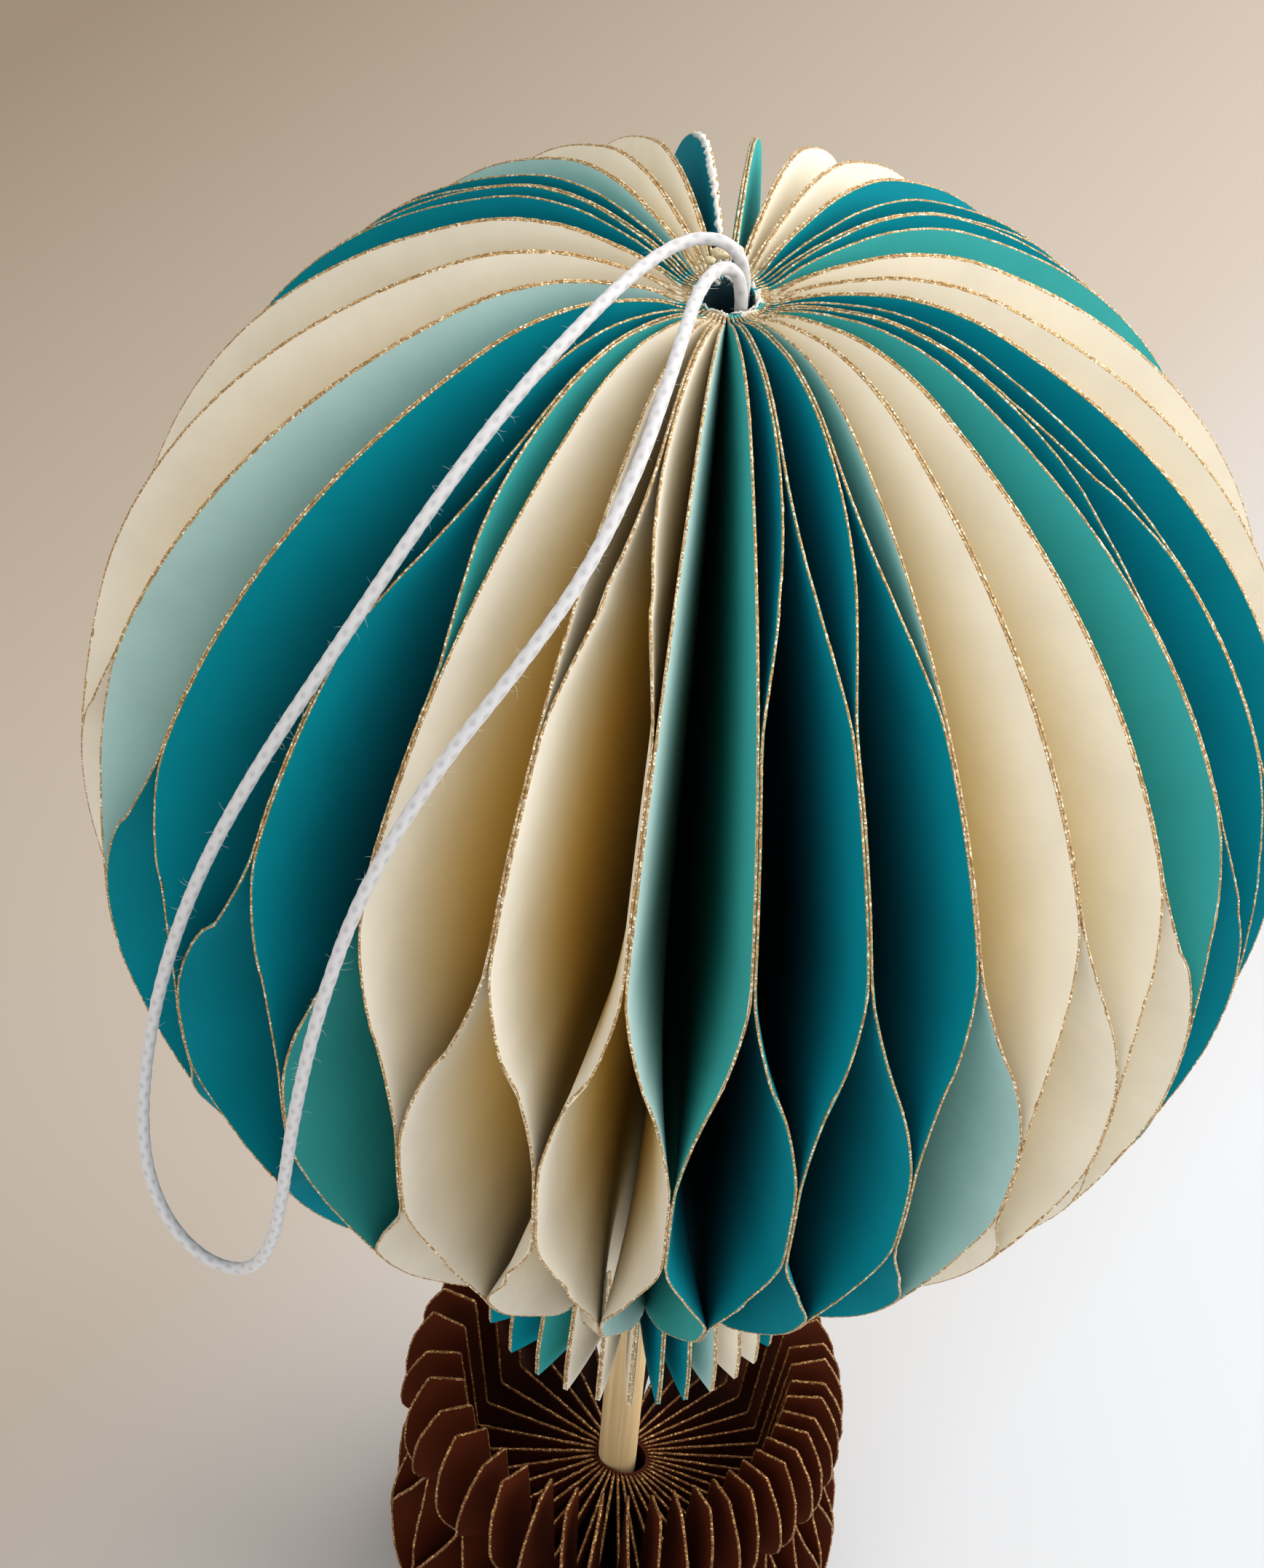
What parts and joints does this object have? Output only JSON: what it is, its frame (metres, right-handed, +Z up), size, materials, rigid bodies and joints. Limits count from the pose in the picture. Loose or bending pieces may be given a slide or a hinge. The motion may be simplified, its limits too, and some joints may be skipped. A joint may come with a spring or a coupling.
{
  "type": "paper hot-air balloon ornament",
  "caption": "Standing and hanging balloon ornament of folded paper leaves round a wooden stick, with a round basket below and a cord loop at the crown.",
  "frame": {"origin": "centre of the basket's underside, where the stick's lower end shows", "axes": "+Z up along the stick from the basket to the crown; -Y faces the viewer"},
  "size_m": [0.1197, 0.12, 0.2048],
  "materials": {
    "cream_paper": "matte cream card with a gold glitter edge",
    "teal_paper": "matte deep teal card with a gold glitter edge",
    "sage_paper": "matte card, pale sage on one leaf and green-teal on the other, with a gold glitter edge",
    "brown_paper": "matte dark brown card with a copper-gold glitter edge",
    "stick_wood": "bare pale wood",
    "cotton_cord": "white braided cotton"
  },
  "bodies": {
    "root": {"basket_01": "brown_paper", "basket_02": "brown_paper", "basket_03": "brown_paper", "basket_04": "brown_paper", "basket_05": "brown_paper", "basket_06": "brown_paper", "basket_07": "brown_paper", "basket_08": "brown_paper", "basket_09": "brown_paper", "basket_10": "brown_paper", "basket_11": "brown_paper", "basket_12": "brown_paper", "basket_13": "brown_paper", "basket_14": "brown_paper", "basket_15": "brown_paper", "basket_16": "brown_paper", "basket_17": "brown_paper", "basket_18": "brown_paper", "basket_19": "brown_paper", "basket_20": "brown_paper", "cord_knot": "cotton_cord", "envelope_cream_01": "cream_paper", "envelope_cream_02": "cream_paper", "envelope_cream_03": "cream_paper", "envelope_cream_04": "cream_paper", "envelope_cream_05": "cream_paper", "envelope_cream_06": "cream_paper", "envelope_cream_07": "cream_paper", "envelope_cream_08": "cream_paper", "envelope_cream_09": "cream_paper", "envelope_cream_10": "cream_paper", "envelope_cream_11": "cream_paper", "envelope_cream_12": "cream_paper", "envelope_sage_01": "sage_paper", "envelope_sage_02": "sage_paper", "envelope_sage_03": "sage_paper", "envelope_sage_04": "sage_paper", "envelope_sage_05": "sage_paper", "envelope_sage_06": "sage_paper", "envelope_sage_07": "sage_paper", "envelope_sage_08": "sage_paper", "envelope_sage_09": "sage_paper", "envelope_sage_10": "sage_paper", "envelope_sage_11": "sage_paper", "envelope_sage_12": "sage_paper", "envelope_teal_01": "teal_paper", "envelope_teal_02": "teal_paper", "envelope_teal_03": "teal_paper", "envelope_teal_04": "teal_paper", "envelope_teal_05": "teal_paper", "envelope_teal_06": "teal_paper", "envelope_teal_07": "teal_paper", "envelope_teal_08": "teal_paper", "envelope_teal_09": "teal_paper", "envelope_teal_10": "teal_paper", "envelope_teal_11": "teal_paper", "envelope_teal_12": "teal_paper", "hanging_cord": "cotton_cord", "stick": "stick_wood"}
  },
  "joints": []
}
